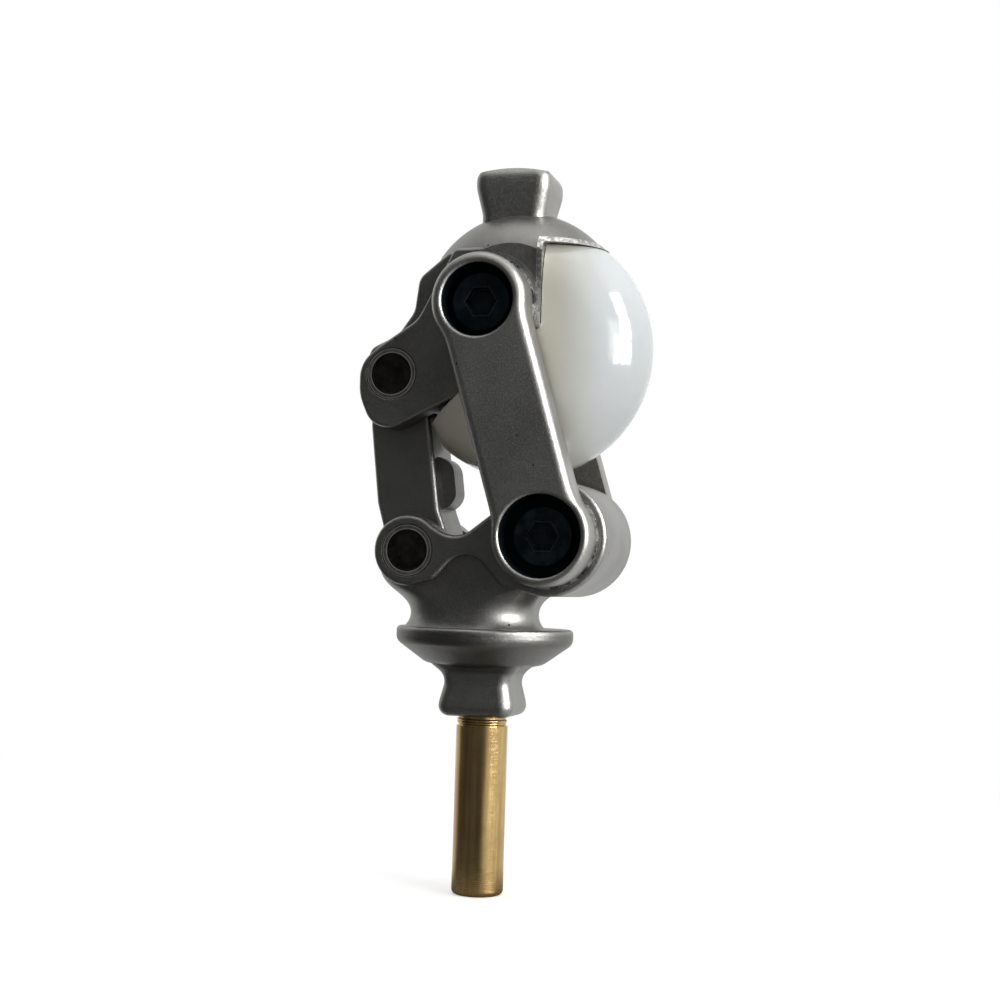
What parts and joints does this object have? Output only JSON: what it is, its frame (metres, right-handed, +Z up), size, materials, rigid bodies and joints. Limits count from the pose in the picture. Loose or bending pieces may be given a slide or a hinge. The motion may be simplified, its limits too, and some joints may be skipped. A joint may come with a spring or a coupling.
{
  "type": "prosthetic knee joint",
  "caption": "Four-bar prosthetic knee: a capped head on front and rear links over a flanged lower frame, with pyramid ends and a brass spring housing below.",
  "frame": {"origin": "lowest point of the lower dome, on the axis of the lower pyramid", "axes": "+Z up along the lower pyramid's axis, +X to the front of the knee, +Y to the far side"},
  "size_m": [0.0825, 0.061, 0.2112],
  "materials": {
    "casting": "bead-blasted satin",
    "bush": "turned",
    "axle": "ground",
    "washer": "bright",
    "black_steel": "black oxide",
    "spring_steel": "drawn wire",
    "brass": "turned",
    "cap": "polished milky white"
  },
  "bodies": {
    "lower_body": {"lower_frame": "casting", "lower_front_bushes": "bush", "lower_rear_bushes": "bush", "spring_housing": "brass"},
    "front_links": {"near_front_link": "casting", "far_front_link": "casting", "lower_front_axle": "axle", "upper_front_axle": "axle", "lower_link_screws": "black_steel", "upper_link_screws": "black_steel", "lower_link_washers": "washer", "upper_link_washers": "washer"},
    "rear_link_body": {"rear_link": "casting", "lower_rear_pin": "black_steel", "upper_rear_pin": "black_steel", "lower_rear_washers": "washer", "upper_rear_washers": "washer"},
    "head": {"head_casting": "casting", "knee_cap": "cap", "upper_front_bushes": "bush", "upper_rear_bushes": "bush", "upper_rear_pin_ends": "black_steel"},
    "plunger_body": {"plunger": "axle", "spring": "spring_steel"}
  },
  "joints": [
    {"name": "front_link_swing", "type": "hinge", "parent": "lower_body", "child": "front_links", "pos_m": [0.0226, 0, 0.0388], "axis": [0, -1, 0], "range_deg": [0, 17.6]},
    {"name": "knee_flexion", "type": "hinge", "parent": "front_links", "child": "head", "pos_m": [0.0029, 0, 0.1042], "axis": [0, -1, 0], "range_deg": [0, 92.4]},
    {"name": "rear_link_swing", "type": "hinge", "parent": "lower_body", "child": "rear_link_body", "pos_m": [-0.0186, 0, 0.0342], "axis": [0, -1, 0], "range_deg": [-44.1, 0]},
    {"name": "plunger_slide", "type": "slide", "parent": "lower_body", "child": "plunger_body", "axis": [0, 0, -1], "range_m": [0, 0.01335], "stiffness_N_per_m": 800, "springref_m": -0.01, "deforming": ["spring"]}
  ],
  "couplings": [
    {"joint": "front_link_swing", "follows": "knee_flexion", "ratio": 0.19029},
    {"joint": "rear_link_swing", "follows": "knee_flexion", "ratio": -0.47676},
    {"joint": "plunger_slide", "follows": "knee_flexion", "m_per_rad": 0.008246}
  ]
}
